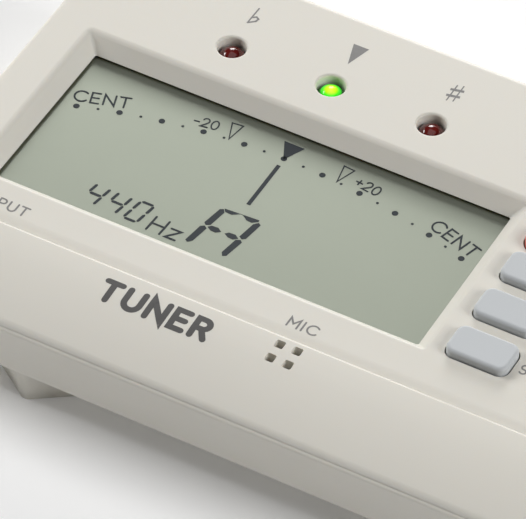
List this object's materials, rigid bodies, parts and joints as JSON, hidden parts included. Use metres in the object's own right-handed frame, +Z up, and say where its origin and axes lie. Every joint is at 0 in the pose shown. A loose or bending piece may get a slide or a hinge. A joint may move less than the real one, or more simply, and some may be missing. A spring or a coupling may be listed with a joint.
{
  "type": "chromatic tuner",
  "caption": "Flat pocket tuner for musical instruments, with a sloping-walled display, three tuning lamps, side keys, jack input and battery cover.",
  "frame": {"origin": "middle of the body's outline, on the surface the tuner rests on", "axes": "+X to the right along the long side as read by the user, +Y towards the back, +Z up out of the display"},
  "size_m": [0.1048, 0.072, 0.0187],
  "materials": {
    "case_plastic": "fine moulded texture, ivory",
    "key_rubber": "smooth moulded, pale blue grey",
    "power_key_rubber": "smooth moulded, coral red",
    "carbon_rubber": "matt black",
    "lamp_green": "clear green, lit",
    "lamp_red": "clear dark red, unlit",
    "display_face": "satin grey-green display face",
    "display_glass": "clear",
    "reflector_film": "satin silver-green film",
    "inner_plastic": "black",
    "connector_rubber": "striped elastomer, dark",
    "board_laminate": "green solder resist",
    "dark_plastic": "black",
    "can_metal": "satin",
    "boot_rubber": "matt black",
    "magnet": "plated",
    "cone_film": "thin film",
    "screw_steel": "zinc plated",
    "plated_metal": "bright nickel plate",
    "cell_can": "sleeved can"
  },
  "bodies": {
    "housing": {"amplifier_chip": "dark_plastic", "battery_cell_1": "cell_can", "battery_cell_2": "cell_can", "battery_link": "plated_metal", "battery_terminal_negative": "plated_metal", "battery_terminal_positive": "plated_metal", "board_screws": "screw_steel", "capacitor": "can_metal", "case_screws": "screw_steel", "chip_resistors": "dark_plastic", "crystal": "can_metal", "display_connector_back": "connector_rubber", "display_connector_front": "connector_rubber", "display_frame": "inner_plastic", "display_front_glass": "display_face", "display_rear_glass": "display_glass", "display_reflector": "reflector_film", "front_case": "case_plastic", "jack_body": "dark_plastic", "jack_bush": "plated_metal", "jack_lugs": "plated_metal", "key_web_calib": "key_rubber", "key_web_note": "key_rubber", "key_web_power": "key_rubber", "key_web_sound": "key_rubber", "keypad_mat": "key_rubber", "led_flat": "lamp_red", "led_in_tune": "lamp_green", "led_sharp": "lamp_red", "main_board": "board_laminate", "microphone": "can_metal", "microphone_boot": "boot_rubber", "processor_chip": "dark_plastic", "rear_case": "case_plastic", "speaker_basket": "dark_plastic", "speaker_cone": "cone_film", "speaker_magnet": "magnet"},
    "key_power_body": {"key_power": "power_key_rubber", "key_pill_power": "carbon_rubber"},
    "key_calib_body": {"key_calib": "key_rubber", "key_pill_calib": "carbon_rubber"},
    "key_note_body": {"key_note": "key_rubber", "key_pill_note": "carbon_rubber"},
    "key_sound_body": {"key_sound": "key_rubber", "key_pill_sound": "carbon_rubber"},
    "battery_cover_body": {"battery_cover": "case_plastic"}
  },
  "joints": [
    {"name": "press_power", "type": "slide", "parent": "housing", "child": "key_power_body", "axis": [0, 0, -1], "range_m": [0, 0.0007], "stiffness_N_per_m": 800, "springref_m": -0.0006, "deforming": ["key_web_power"]},
    {"name": "press_calib", "type": "slide", "parent": "housing", "child": "key_calib_body", "axis": [0, 0, -1], "range_m": [0, 0.0007], "stiffness_N_per_m": 800, "springref_m": -0.0006, "deforming": ["key_web_calib"]},
    {"name": "press_note", "type": "slide", "parent": "housing", "child": "key_note_body", "axis": [0, 0, -1], "range_m": [0, 0.0007], "stiffness_N_per_m": 800, "springref_m": -0.0006, "deforming": ["key_web_note"]},
    {"name": "press_sound", "type": "slide", "parent": "housing", "child": "key_sound_body", "axis": [0, 0, -1], "range_m": [0, 0.0007], "stiffness_N_per_m": 800, "springref_m": -0.0006, "deforming": ["key_web_sound"]},
    {"name": "battery_cover_slide", "type": "slide", "parent": "housing", "child": "battery_cover_body", "axis": [0, 1, 0], "range_m": [0, 0.03]}
  ]
}
